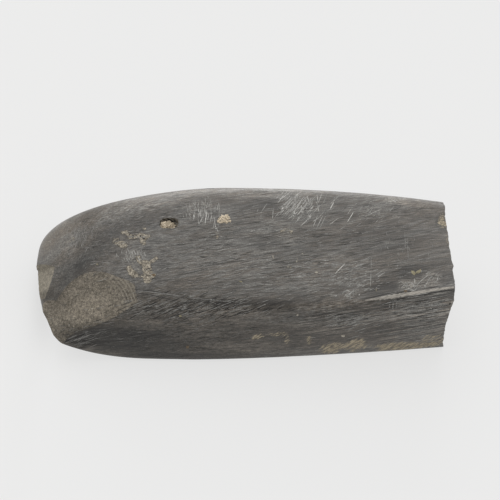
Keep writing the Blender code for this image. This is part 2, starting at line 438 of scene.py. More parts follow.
# The strip along the ridge, lighter from wear and a painted highlight: points in pixels, each with
# its half width
WORN_HIGHLIT_STRIP = (
    (365, 300.4, 0.5),
    (372, 299.3, 1.1),
    (382, 298.1, 1.6),
    (395, 296.2, 1.9),
    (405, 294.5, 1.8),
    (415, 293, 1.6),
    (430, 290.6, 1.3),
    (442, 288.8, 1.1),
    (454.5, 287.2, 1),
)
STRIP_STEP = 0.8
STRIP_ACROSS = 8
STRIP_ROUGH = 0.55
STRIP_GRAIN = 3.0
STRIP_RAGS = 9.0
STRIP_FRACTAL = (0.8, 2.0, 3)
STRIP_LIFT = 0.05 * MM

# Scratches, and lines of painted shade along creases: x and y of each point in pixels, width in
# millimetres, and how fresh, from 0, dark, to 1, white
LONG_SCRATCHES_AND_CREASE_SHADE = (
    ((195.2, 200.5, 194.8, 212), 0.14, 0.6),
    ((194.3, 212, 193.6, 219.5), 0.28, 0.75),
    ((200.6, 209.5, 200.2, 218), 0.24, 0.6),
    ((206.9, 210.5, 205, 224.5), 0.26, 0.75),
    ((203, 216.5, 198.6, 225), 0.2, 0.65),
    ((208.8, 213.5, 207.6, 220.5), 0.2, 0.6),
    ((212.4, 212, 209.8, 223.5), 0.18, 0.6),
    ((213.8, 215.5, 216, 231), 0.18, 0.7),
    ((216.2, 227.5, 218.4, 232.5), 0.2, 0.6),
    ((219, 203, 219.4, 212.5), 0.14, 0.5),
    ((217.4, 204.5, 217.8, 211), 0.14, 0.45),
    ((189.6, 203, 190.4, 214.5), 0.18, 0.5),
    ((168, 209.2, 180, 208.4), 0.14, 0.4),
    ((214, 252, 231, 247.6), 0.18, 0.5),
    ((205, 250, 229, 245.5), 0.14, 0.35),
    ((67.9, 227.7, 66.2, 240.3), 0.14, 0.4),
    ((79.6, 227.5, 78.4, 232), 0.18, 0.5),
    ((77, 240.3, 74.9, 248.8), 0.16, 0.4),
    ((86.5, 234.5, 83, 242), 0.14, 0.35),
    ((300.3, 226.3, 311.5, 216.3), 0.2, 0.8),
    ((313, 227, 317.9, 215.1), 0.16, 0.6),
    ((316.5, 228.4, 322.8, 215.8), 0.16, 0.6),
    ((319.5, 229, 325.5, 216.5), 0.14, 0.5),
    ((308, 214, 311, 219), 0.2, 0.7),
    ((329.8, 209.5, 333.9, 202), 0.26, 0.85),
    ((347.3, 222.1, 353.6, 212), 0.24, 0.8),
    ((347, 215, 352.7, 206.7), 0.14, 0.5),
    ((335, 273.8, 345.3, 263.2), 0.26, 0.85),
    ((371.3, 256.9, 371, 272), 0.12, 0.4),
    ((371, 272, 370.4, 287), 0.16, 0.5),
    ((377, 277.5, 385, 272.3), 0.22, 0.5),
    ((375, 275.5, 383, 270.3), 0.18, 0.4),
    ((404.6, 232, 405.8, 248), 0.14, 0.35),
    ((407, 236, 408.4, 258.6), 0.12, 0.35),
    ((364.9, 216.5, 381.7, 208.8), 0.16, 0.6),
    ((369, 214, 372.5, 208), 0.16, 0.45),
    ((288, 213, 300, 199.6), 0.14, 0.5),
    ((283.5, 205, 297.5, 201), 0.12, 0.4),
    ((137, 290.2, 160, 293.2, 185, 296.4), 0.24, 0.3),
    ((185, 297, 215, 300.5, 250, 303), 0.2, 0.24),
    ((398.5, 261.5, 415, 265), 0.12, 0.3),
    ((414, 288, 418, 284, 422.5, 279.5, 427, 276, 431.5, 274.4), 0.22, 0.5),
    ((425, 286.5, 428, 281, 430.5, 277, 434.5, 275.4), 0.2, 0.5),
    ((434, 283, 437.2, 280.4, 438.2, 276.6, 436, 274), 0.2, 0.5),
    ((397.5, 283.5, 401, 281.6, 404, 283.6), 0.2, 0.5),
    ((401, 288, 404, 285, 408, 286.2), 0.2, 0.5),
    ((408, 282.2, 412.4, 283, 415, 286.6), 0.2, 0.5),
    ((404, 290, 409, 288.8, 414, 290.4, 418.6, 287.6), 0.2, 0.5),
    ((343, 292.6, 347, 290.2, 351, 291.8), 0.26, 0.6),
    ((346.6, 296.6, 350, 293.6, 353.6, 290.4), 0.26, 0.6),
    ((390, 303, 389.2, 308), 0.3, 0.4),
    ((393.4, 302, 392.6, 308.6), 0.3, 0.42),
    ((397, 301, 396, 308), 0.26, 0.4),
    ((392, 199.8, 395, 201.4, 397.4, 200.4), 0.34, 0.6),
    ((389, 201, 391.4, 202.4), 0.34, 0.5),
    ((70, 342, 80, 338.4, 92, 334), 0.3, 0.32),
    ((71, 345.4, 81, 343.4, 92, 342.6), 0.26, 0.27),
    # Painted shadow and shade: the next two black lines lie under the scar's lower edge, the two
    # after them along the crease from the scar's tip
    ((65, 341.6, 79, 336.4, 94, 330), 0.36, 0),
    ((66, 344, 80, 341.4, 94, 339), 0.3, 0),
    ((136, 292.6, 150, 295, 172, 299.4), 0.26, 0.03),
    ((134, 289.4, 152, 291, 168, 294), 0.26, 0.03),
    ((380, 305, 391, 302, 402, 301), 0.2, 0.55),
    # Painted shade: the next six dark lines run under and over the highlit ridge and along the
    # hollow's borders
    ((377, 306.5, 388, 301.9, 400, 299.3, 415, 295.9), 0.28, 0),
    ((415, 295.9, 430, 293.1, 444, 290.9, 454.5, 289.9), 0.24, 0),
    ((408, 302.6, 425, 299.6, 440, 297.2, 453.5, 296.6), 0.22, 0.02),
    ((360, 299, 372, 297.4, 384, 294.4, 398, 291.6), 0.26, 0.02),
    ((376, 285, 388, 283.5, 398, 280.4), 0.24, 0.04),
    ((400, 267.6, 410, 265.6, 419, 264.8), 0.22, 0.06),
    # Painted shadow: the next two dark lines lie under the scar's lower edge
    ((62.5, 342, 75, 338.6, 88, 333), 0.22, 0.03),
    ((66, 345.5, 82, 344), 0.2, 0.05),
    ((150, 321, 172, 313.5, 190, 309), 0.18, 0.05),
    ((172, 319.5, 192, 313, 208, 309.5), 0.18, 0.3),
    ((172, 276.5, 196, 271.5, 216, 266), 0.2, 0.05),
    ((176, 278, 199, 273), 0.16, 0.3),
    ((203, 266.5, 225, 262.4), 0.16, 0.06),
)
# Clusters: middle, spread across and down, angle, its spread, length, count, width in
# millimetres, and how fresh
SCRATCH_CLUSTERS = (
    (203, 210, 20, 12, 95, 18, 8, 70, 0.1, 0.5),
    (185, 207, 26, 7, 3, 14, 9, 40, 0.08, 0.4),
    (299, 207, 28, 15, 48, 30, 13, 70, 0.15, 0.56),
    (301, 209, 32, 17, 45, 40, 9, 80, 0.13, 0.35),
    (291, 203, 16, 9, 44, 20, 13, 30, 0.14, 0.7),
    (307, 204, 12, 8, 97, 16, 9, 22, 0.13, 0.7),
    (373, 211, 22, 12, 25, 40, 8, 70, 0.1, 0.4),
    (410, 285, 14, 5, 20, 120, 5, 12, 0.2, 0.42),
    (431, 279, 13, 7, 40, 100, 5, 12, 0.2, 0.42),
    (350, 294, 11, 4, 40, 60, 4.5, 16, 0.22, 0.45),
    (345, 280, 26, 8, 10, 24, 8, 80, 0.1, 0.36),
    (340, 272, 46, 16, 8, 12, 10, 90, 0.2, 0.34),
    (346, 280, 42, 14, 32, 16, 6, 60, 0.18, 0.34),
    (265, 229, 34, 6, 7, 6, 16, 50, 0.11, 0.38),
    (397, 246, 30, 24, 92, 20, 5, 50, 0.08, 0.3),
    (78, 236, 22, 18, 72, 16, 7, 110, 0.1, 0.33),
    (92, 262, 24, 14, 60, 30, 5, 60, 0.09, 0.28),
    (131, 256, 14, 7, 112, 20, 7, 26, 0.22, 0.5),
    (255, 245, 190, 56, 9, 14, 12, 640, 0.1, 0.36),
    (255, 250, 190, 56, 6, 12, 13, 640, 0.11, 0.04),
    (205, 248, 60, 30, 9, 6, 18, 120, 0.1, 0.38),
    (280, 275, 60, 22, 2, 8, 16, 110, 0.1, 0.37),
    (120, 225, 60, 20, 24, 16, 10, 120, 0.08, 0.26),
    (425, 308, 34, 14, 8, 3, 22, 120, 0.2, 0.42),
    (420, 330, 34, 14, 7, 4, 22, 130, 0.12, 0.3),
    (420, 309, 34, 16, 8, 3, 18, 90, 0.2, 0.02),
    (350, 321, 30, 10, 17, 6, 14, 90, 0.18, 0.36),
    (335, 315, 44, 16, 10, 8, 16, 150, 0.1, 0.03),
    (200, 309, 80, 12, 20, 10, 11, 220, 0.12, 0.34),
    (200, 309, 80, 12, 20, 10, 12, 220, 0.15, 0),
    (180, 335, 100, 20, 5, 12, 12, 300, 0.1, 0.2),
    (180, 335, 100, 20, 5, 12, 12, 260, 0.1, 0.02),
    (85, 338, 24, 10, 22, 10, 12, 70, 0.1, 0.24),
    (85, 342, 20, 7, 8, 14, 14, 40, 0.12, 0),
    (250, 193, 130, 8, 2, 6, 12, 120, 0.1, 0.35),
)
# The same on the far side and the underside, by the pixels of two more eyes, whose
# azimuth and elevation are in degrees
FAR_CLUSTERS = (
    (250, 250, 220, 90, 4, 12, 15, 320, 0.09, 0.25),
    (250, 250, 220, 90, 6, 12, 15, 320, 0.09, 0.04),
    (320, 230, 30, 16, 60, 30, 9, 50, 0.12, 0.45),
)
UNDER_CLUSTERS = (
    (250, 250, 220, 90, 8, 18, 15, 320, 0.09, 0.26),
    (250, 250, 220, 90, 5, 18, 15, 260, 0.09, 0.04),
    (200, 260, 40, 20, 40, 40, 9, 60, 0.12, 0.45),
)
FAR_STAINS = (
    (180, 290, 60, 18, 0, 0.5),
    (330, 270, 36, 14, 5, 0.42),
    (410, 250, 20, 14, 0, 0.5),
)
UNDER_STAINS = (
    (260, 250, 70, 40, 10, 0.5),
    (400, 240, 30, 20, 0, 0.5),
)
FAR_EYE = (180.0, 35.0)
UNDER_EYE = (0.0, -80.0)
SCRATCH_STEP = 1.6
SCRATCH_ENDS = (0.08, 0.92)
LENGTH_RANGE = (0.35, 1.0)
WIDTH_RANGE = (0.6, 1.5)
FRESH_RANGE = (0.7, 1.3)
SCRATCH_LONGEST = 18.0 * MM
SCRATCH_LIFT = 0.02 * MM
SEED = 7

# Flecks by kind of dirt: middle in pixels, half width, half height, turn in degrees, and
# how thick the dirt lies, 0 to 1 or so
FLECKS = {
    "pale": (
        (273, 257, 0.8, 2.4, 20, 0.6),
        (316.5, 272.3, 1.9, 0.7, 5, 1),
        (296.8, 261.5, 0.7, 1.1, -20, 0.8),
        (297.4, 258.6, 0.5, 1.2, 20, 0.4),
        (302.6, 253.6, 0.8, 0.6, 0, 0.6),
        (288, 266.6, 1, 1.1, 0, 0.5),
        (343.3, 336, 1.8, 1.1, 0, 1),
        (297.4, 315.2, 1, 1.1, 0, 0.9),
        (363.6, 315.4, 1.2, 0.8, 20, 0.4),
        (367.9, 316.1, 0.9, 1, 0, 0.45),
        (364.8, 340.6, 1, 0.8, 0, 0.3),
        (400.8, 322.4, 1.3, 0.7, 10, 0.4),
        (92.2, 308.4, 0.7, 0.8, 0, 1),
        (77.6, 294.6, 1.2, 0.5, 0, 0.5),
        (69, 325, 0.7, 0.9, 0, 0.5),
        (51, 319, 0.8, 0.8, 0, 0.4),
        (100.5, 294, 0.9, 0.6, 0, 0.4),
    ),
    "yellow": (
        (290.4, 267.6, 0.8, 0.7, 0, 1),
        (97.3, 264.2, 1.4, 0.6, 0, 1),
        (240.6, 281.6, 2.2, 0.7, -12, 1),
        (180.4, 316, 1.5, 1.1, 0, 1),
        (413.4, 272.8, 2.9, 1.5, -42, 1.1),
        (418.4, 271.4, 3.6, 1.5, 32, 1.1),
        (376.2, 290.2, 0.5, 1.6, 0, 0.7),
    ),
    "brown": (
        (187.4, 347, 1.8, 1.8, 0, 1),
        (405.6, 291, 1.8, 1.4, 0, 0.8),
        (153.6, 275, 1.8, 1.3, 0, 1.5),
    ),
    "dark": (
        (140.4, 236, 1.1, 1.1, 0, 1),
        (143.9, 238.6, 1.5, 0.8, 0, 1),
        (93.5, 247.8, 1.2, 0.7, 0, 1),
        (450, 303.8, 1, 1.2, 0, 1),
    ),
}
FLECK_COLOURS = {
    "pale": PALE_FLECK,
    "yellow": YELLOW_FLECK,
    "brown": BROWN_FLECK,
    "dark": DARK_FLECK,
}
FLECK_CORNERS = 14
FLECK_ROUGH = 0.3
FLECK_LIFT = 0.02 * MM
FLECK_DOME = 0.12 * MM
FLECK_RIM = 0.6

# Sand: pixel, width, depth and thickness in millimetres, and how far it is sunk
PIT_SAND = (
    (162.6, 224.7, 2.6, 2.5, 1.8, 0.2),
    (166.8, 224.6, 3.2, 2.5, 1.8, 0.1),
    (171, 224.9, 2.8, 2.5, 1.8, 0.3),
    (163.4, 227, 2.2, 1.5, 1.3, 0),
    (167.4, 227.2, 2.6, 1.5, 1.3, 0),
    (171.2, 227, 2, 1.5, 1.3, 0.1),
)
CRUMB = (
    (218.6, 220.8, 0.9, 0.9, 0.5, 0.1),
    (220.6, 218.9, 1.1, 1.2, 0.6, 0.1),
    (222.6, 217, 1.1, 1.1, 0.7, 0.1),
    (225.4, 216.8, 1.2, 1.5, 0.8, 0.1),
    (228, 218.2, 1, 1.1, 0.6, 0.1),
    (229.6, 220.8, 0.8, 0.8, 0.5, 0.1),
    (221, 222.2, 1.1, 0.9, 0.5, 0.1),
    (224.2, 220.6, 1.5, 1.2, 0.7, 0.1),
    (224, 218.8, 1.7, 1.6, 0.6, 0.1),
    (227, 222, 0.9, 0.8, 0.5, 0.1),
    (227.4, 215.4, 0.7, 0.9, 0.5, 0.1),
)
SAND_ROUGH = 0.65
SAND_GRAIN = 4.0
SAND_FRACTAL = (0.7, 2.0, 4)
SAND_SEED_STEP = 3.7


def blend(low, high, share):
    return low + (high - low) * share


def eased(value, start, end):
    """0 before start, 1 past end, and smooth between."""
    share = min(max((value - start) / (end - start), 0.0), 1.0)
    return share * share * (3.0 - 2.0 * share)


# The stone's shape


def half_width(behind):
    if behind > WIDEST_AT:
        share = (behind - WIDEST_AT) / (LENGTH - WIDEST_AT)
        return blend(WIDTH, BUTT_WIDTH, share**BUTT_TAPER) / 2
    share = 1.0 - behind / WIDEST_AT
    return blend(WIDTH, EDGE_WIDTH, share**EDGE_TAPER) / 2


def bevel_rise(behind, power, round_off):
    """How far the upper face has risen from the cutting edge, 0 to 1."""
    left = max(1.0 - behind / UPPER_BEVEL, 0.0)
    return (1.0 - left**power) ** round_off


def upper_heights(behind):
    """Heights of the near and the far long corner above the table."""
    share = behind / LENGTH
    far = blend(FAR_HEIGHT, FAR_BUTT_HEIGHT, share**FAR_FALL_POWER)
    rise = max(behind - NEAR_RISE_FROM, 0.0) / (LENGTH - NEAR_RISE_FROM)
    near = blend(NEAR_HEIGHT, NEAR_BUTT_HEIGHT, rise**NEAR_RISE_POWER)
    start = EDGE_HEIGHT + EDGE_BLUNT / 2
    near_rise = bevel_rise(behind, NEAR_BEVEL_POWER, NEAR_BEVEL_ROUND)
    far_rise = bevel_rise(behind, UPPER_BEVEL_POWER, UPPER_BEVEL_ROUND)
    return blend(start, near, near_rise), blend(start, far, far_rise)


def lower_height(behind):
    left = max(1.0 - behind / LOWER_BEVEL, 0.0)
    return (EDGE_HEIGHT - EDGE_BLUNT / 2) * left**LOWER_BEVEL_POWER


def squareness(behind, across, up):
    """The power of the rounded square in this quarter of the section."""
    if up > 0.0:
        corner = FAR_SHOULDER if across > 0.0 else NEAR_SHOULDER
    else:
        corner = FAR_LOWER_CORNER if across > 0.0 else NEAR_LOWER_CORNER
    return blend(corner[0], corner[1], eased(behind, SQUARE_FROM, LENGTH))


def rounded(across, up, power):
    """Moves a point of the square -1 to 1 into a square with round corners."""
    largest = max(abs(across), abs(up))
    if largest == 0.0:
        return across, up
    length = (abs(across) ** power + abs(up) ** power) ** (1.0 / power)
    return across * largest / length, up * largest / length


def edge_step(behind, across):
    """The cutting edge bows back to both corners, and is worn back at the near one."""
    bow = EDGE_BOW * abs(across) ** EDGE_BOW_POWER
    bow *= max(1.0 - behind / EDGE_BOW_REACH, 0.0) ** 2
    loss = EDGE_LOSS * eased(-across, *EDGE_LOSS_SPAN)
    loss *= max(1.0 - behind / EDGE_LOSS_REACH, 0.0) ** 2
    return bow + loss


def break_step(behind, y, z):
    """How far the rough break moves the stone's end, which it does only near it."""
    across = y / BUTT_WIDTH
    up = z / NEAR_BUTT_HEIGHT
    slope = BREAK_OVERHANG * (up - 1.0) - BREAK_SKEW * (across + 0.5)
    dish = BREAK_DISH * max(1.0 - ((up - BREAK_DISH_AT) / BREAK_DISH_REACH) ** 2, 0.0)
    grain = Vector((BREAK_SEED, y / BREAK_GRAIN, z / BREAK_GRAIN))
    finer = BREAK_FINER_SHARE * noise.noise(grain * BREAK_FINER)
    rough = BREAK_ROUGH * (noise.noise(grain) + finer)
    step = (slope + rough - dish) * eased(behind, LENGTH - BREAK_REACH, LENGTH)
    teeth = noise.fractal(Vector((0.0, y, z)) / RIM_GRAIN, *RIM_FRACTAL)
    return step + RIM_ROUGH * teeth * eased(behind, LENGTH - RIM_REACH, LENGTH)


def ground_point(along, across, up):
    """The place on the head of a point of the blank, whose grid runs -1 to 1."""
    behind = LENGTH * ((along + 1.0) / 2) ** EDGE_CROWDING
    across, up = rounded(across, up, squareness(behind, across, up))
    near, far = upper_heights(behind)
    top = blend(near, far, (across + 1.0) / 2) + UPPER_CROWN * (1.0 - across**2)
    lift = max(abs(across) - LOWER_FLAT, 0.0) / (1.0 - LOWER_FLAT)
    low = lower_height(behind) + LOWER_LIFT * lift**2
    half = half_width(behind)
    batter = NEAR_BATTER * (1.0 - eased(behind, *NEAR_BATTER_SPAN)) * (up + 1.0) / 2
    y = across * (half - SIDE_BULGE * up**2) + max(-across, 0.0) * batter
    z = max(blend(low, top, (up + 1.0) / 2) - GROUND_OFF, 0.0)
    x = behind + edge_step(behind, across) + break_step(behind, y, z)
    return Vector((x - LENGTH / 2, y, z))


def grid_box(cells):
    """A box two units a side, as a grid of cells."""
    bm = bmesh.new()
    bmesh.ops.create_cube(bm, size=2.0)
    for axis, count in enumerate(cells):
        whole = [e for e in bm.edges if abs(e.verts[0].co[axis] - e.verts[1].co[axis]) > 1.0]
        bmesh.ops.subdivide_edges(bm, edges=whole, cuts=count - 1, use_grid_fill=True)
    return bm


def middle_in_plan(bm):
    low = Vector([min(vert.co[axis] for vert in bm.verts) for axis in range(2)])
    high = Vector([max(vert.co[axis] for vert in bm.verts) for axis in range(2)])
    return ((low + high) / 2).to_3d()


def ball(bm):
    """The corners of a new ball one unit across."""
    return bmesh.ops.create_icosphere(bm, subdivisions=BALL_FINENESS, radius=0.5)["verts"]


def in_scene(name, data):
    """A new object in the scene, of a mesh, a light or a camera."""
    obj = bpy.data.objects.new(name, data)
    bpy.context.scene.collection.objects.link(obj)
    return obj


def meshed(bm, name, slots):
    """The bmesh as an object in the scene, with those materials."""
    mesh = bpy.data.meshes.new(name)
    bm.to_mesh(mesh)
    bm.free()
    for material in slots:
        mesh.materials.append(material)
    return in_scene(name, mesh)


def as_object(bm, name, slots, index=0):
    """The same for a closed one, all in the material of that index."""
    bmesh.ops.recalc_face_normals(bm, faces=bm.faces)
    for face in bm.faces:
        face.material_index = index
    return meshed(bm, name, slots)


def scar_floor(out):
    """Height of the scar's floor, out from the point of the blow."""
    pit = PIT_DEPTH * max(1.0 - (out / PIT_REACH) ** 2, 0.0)
    return -pit - FALL * eased(out, FALL_FROM, SCAR_REACH)


def scar_cutter(slots):
    """A block whose underside is the floor of the flake scar, on a fine grid."""
    bm = grid_box((*SCAR_CELLS, 1))
    for vert in bm.verts:
        x = (vert.co.x + 1.0) / 2 * SCAR_REACH - PIT_REACH / 2
        y = vert.co.y * SCAR_HALF_WIDTH
        z = SCAR_TOP if vert.co.z > 0.0 else scar_floor(math.hypot(x, y))
        vert.co = (x, y, z)
    obj = as_object(bm, "scar_cutter", slots, 1)
    obj.location = SCAR_BLOW
    obj.rotation_euler = (SCAR_ROLL, SCAR_LEAN, 0.0)
    return obj


def chip_cutter(slots):
    """A turned block whose far side leans out, on a fine grid."""
    bm = grid_box(CHIP_CELLS)
    bmesh.ops.translate(bm, vec=(-1.0, -1.0, 1.0), verts=bm.verts)
    bmesh.ops.scale(bm, vec=CHIP_SIZE / 2, verts=bm.verts)
    for vert in bm.verts:
        lean = CHIP_FLARE * vert.co.z / CHIP_SIZE.z
        vert.co.y += lean * (1.0 + vert.co.y / CHIP_SIZE.y)
    obj = as_object(bm, "chip_cutter", slots, 1)
    obj.location = CHIP_CORNER
    obj.rotation_euler = CHIP_TURN
    return obj


def void_cutter(slots):
    """The pit: round in depth, and nearly square at its corners seen from above."""
    bm = bmesh.new()
    for vert in ball(bm):
        corners = abs(vert.co.x) ** VOID_POWER + abs(vert.co.y) ** VOID_POWER
        swell = math.hypot(vert.co.x, vert.co.y) / max(corners ** (1.0 / VOID_POWER), TINY)
        vert.co.x *= swell
        vert.co.y *= swell
    bmesh.ops.scale(bm, vec=VOID_SIZE, verts=bm.verts)
    obj = as_object(bm, "void_cutter", slots, 1)
    obj.location = VOID_CENTRE
    obj.rotation_euler = VOID_TURN
    return obj


def cut_stone(slots):
    """The ground stone with the cuts taken out of it, as one mesh."""
    bm = grid_box((ALONG_CELLS, ACROSS_CELLS, UP_CELLS))
    at_butt = [all(vert.co.x == 1.0 for vert in face.verts) for face in bm.faces]
    for vert in bm.verts:
        vert.co = ground_point(*vert.co)
    middle = middle_in_plan(bm)
    bmesh.ops.translate(bm, vec=-middle, verts=bm.verts)
    stone = as_object(bm, "stone", slots)
    stone.data.polygons.foreach_set("material_index", at_butt)
    cutters = [scar_cutter(slots), chip_cutter(slots), void_cutter(slots)]
    for cutter in cutters:
        cutter.location -= middle
        modifier = stone.modifiers.new(cutter.name, "BOOLEAN")
        modifier.operation = "DIFFERENCE"
        modifier.solver = "EXACT"
        modifier.object = cutter
    graph = bpy.context.evaluated_depsgraph_get()
    mesh = bpy.data.meshes.new_from_object(stone.evaluated_get(graph))
    stone.modifiers.clear()
    stone.data = mesh
    for cutter in cutters:
        bpy.data.objects.remove(cutter)
    return stone


# The camera and what it sees


class Eye:
    """A place to look at the stone from, with the photograph's lens and frame."""

    def __init__(self, azimuth=0.0, elevation=ELEVATION):
        self.azimuth = azimuth
        self.elevation = elevation
        self.right = Vector((math.cos(azimuth), math.sin(azimuth), 0.0))
        away = Vector((math.sin(azimuth), -math.cos(azimuth), 0.0)) * math.cos(elevation)
        self.back = away + Vector((0.0, 0.0, math.sin(elevation)))
        self.up = self.back.cross(self.right)
        self.place = CAMERA_AIM + self.back * CAMERA_DISTANCE
        self.focal = LENS / SENSOR * PHOTO_SIDE

    def pixels_of(self, points):
        """The pixels at which points show, as two arrays."""
        rays = points - np.array(self.place)
        scale = self.focal / -(rays @ np.array(self.back))
        x = PHOTO_SIDE / 2 + scale * (rays @ np.array(self.right))
        y = PHOTO_SIDE / 2 - scale * (rays @ np.array(self.up))
        return x, y

    def seen_at(self, tree, x, y):
        """The place and normal on the stone at a pixel, or None twice."""
        ray = self.right * (x - PHOTO_SIDE / 2) - self.up * (y - PHOTO_SIDE / 2)
        ray -= self.back * self.focal
        place, normal, _, _ = tree.ray_cast(self.place, ray.normalized())
        return place, normal


def build_camera(eye):
    data = bpy.data.cameras.new("camera")
    data.lens = LENS
    data.sensor_width = SENSOR
    data.clip_start = NEAREST_SEEN
    camera = in_scene("camera", data)
    camera.location = eye.place
    camera.rotation_euler = (math.pi / 2 - eye.elevation, 0.0, eye.azimuth)
    bpy.context.scene.camera = camera


# Light and floor


def sun(name, azimuth, elevation, strength, spread):
    """A soft white light from far off."""
    data = bpy.data.lights.new(name, "SUN")
    data.energy = strength
    data.angle = math.radians(spread)
    light = in_scene(name, data)
    light.rotation_euler = (math.radians(elevation - 90.0), 0.0, math.radians(azimuth))


def build_light():
    world = bpy.data.worlds.new("studio")
    world.use_nodes = True
    background = world.node_tree.nodes["Background"]
    background.inputs["Color"].default_value = (1.0, 1.0, 1.0, 1.0)
    background.inputs["Strength"].default_value = WORLD_LIGHT
    bpy.context.scene.world = world
    sun("key", *KEY_LIGHT)
    sun("rim", *RIM_LIGHT)
    bpy.context.scene.view_settings.view_transform = "Standard"


def build_floor():
    """A pale table. By the raised cutting edge it glows less and reflects more."""
    shader = Shader("floor")
    shade = shader.ranged(shader.along_x(), *SHADE_SPAN, 1.0, 0.0)
    inputs = {
        "Base Color": shader.mix(shade, FLOOR, SHADED_FLOOR),
        "Emission Strength": shader.blend(shade, *FLOOR_GLOW),
        "Emission Color": GLOW_COLOUR,
        "Roughness": FLOOR_ROUGHNESS,
        "Specular IOR Level": 0.0,
    }
    shader.feed(shader.surface, inputs)
    bm = bmesh.new()
    bmesh.ops.create_grid(bm, x_segments=1, y_segments=1, size=FLOOR_HALF)
    floor = as_object(bm, "floor", [shader.material])


# Relief


def normals_and_breaks(mesh):
    """Each vertex's normal, and whether it lies on broken stone, on polish, or on both."""
    normals = [vert.normal.copy() for vert in mesh.vertices]
    broken = [0.0] * len(normals)
    faces = [0] * len(normals)
    for polygon in mesh.polygons:
        for index in polygon.vertices:
            broken[index] += polygon.material_index
            faces[index] += 1
    return normals, [some / max(count, 1) for some, count in zip(broken, faces)]


def tree_of(mesh):
    """What rays are cast at."""
    places = [vert.co for vert in mesh.vertices]
    return BVHTree.FromPolygons(places, [polygon.vertices for polygon in mesh.polygons])


def coordinates(mesh):
    places = np.empty(len(mesh.vertices) * 3)
    mesh.vertices.foreach_get("co", places)
    return places.reshape(-1, 3)


def write_attribute(mesh, name, values):
    layer = mesh.attributes.new(name, "FLOAT", "POINT")
    layer.data.foreach_set("value", values)


def ripple(point, centre):
    """The rings at the far end of the flake scar, round the middle of its lower ridge."""
    if point.x > 0.0:
        return 0.0
    out = (point - centre).length
    ring = math.sin(math.tau * out / RIPPLE_LENGTH)
    return ring * eased(out, *RIPPLE_SPAN) * eased(point.x, *RIPPLE_X_SPAN)


def relieve(mesh, eye, tree, low, high):
    """Moves the vertices in and out along their normals, within the box low to high."""
    normals, broken = normals_and_breaks(mesh)
    centre, _ = eye.seen_at(tree, *RIPPLE_CENTRE)
    hollow = HOLLOW_DEPTH * spots_at([HOLLOW], *eye.pixels_of(coordinates(mesh)))
    crest_highlights = []
    for vert, normal, share, deep in zip(mesh.vertices, normals, broken, hollow):
        point = vert.co.copy()
        polish = POLISH_WAVE * noise.noise(point / POLISH_GRAIN)
        if normal.z > FACES_UP:
            polish -= deep
        rings = ripple(point, centre)
        # Where the ripples crest, for their painted highlight
        crest_highlights.append(max(rings, 0.0) * share)
        depth = BUTT_FRACTURE if point.x > 0.0 else FRACTURE
        rough = depth * noise.fractal(point / FRACTURE_GRAIN, *FRACTURE_FRACTAL)
        rough += RIPPLE_DEPTH * rings
        moved = point + normal * blend(polish, rough, share)
        for axis in range(3):
            vert.co[axis] = min(max(moved[axis], low[axis] + INSET), high[axis] - INSET)
    write_attribute(mesh, "crest_highlight", crest_highlights)


# Marks placed by photograph pixels


def spots_at(spots, x, y):
    """The sum of the spots at pixels x, y: each its strength in its middle, 0 past its edge."""
    total = np.zeros_like(x)
    for middle_x, middle_y, wide, high, turn, strength in spots:
        angle = math.radians(turn)
        across = x - middle_x
        down = y - middle_y
        along = (across * math.cos(angle) - down * math.sin(angle)) / wide
        aside = (across * math.sin(angle) + down * math.cos(angle)) / high
        share = np.clip((1.0 - np.hypot(along, aside)) / SPOT_RAMP, 0.0, 1.0)
        total += strength * share * share * (3.0 - 2.0 * share)
    return total


def paint(mesh, name, views, contact=0.0):
    """Writes an attribute of each view's spots, on what it shows and those before don't."""
    places = coordinates(mesh)
    normals = np.array([vert.normal for vert in mesh.vertices])
    values = np.clip(1.0 - places[:, 2] / CONTACT_DIRT, 0.0, 1.0) * contact
    unseen = np.ones_like(values)
    for eye, spots in views:
        facing = (normals * (np.array(eye.place) - places)).sum(axis=1) > 0.0
        values += unseen * facing * spots_at(spots, *eye.pixels_of(places))
        unseen *= ~facing
    write_attribute(mesh, name, values)


# Scratches, lines of painted shade along creases, the ridge's strip of wear and painted highlight,
# and flecks, which lie on the stone


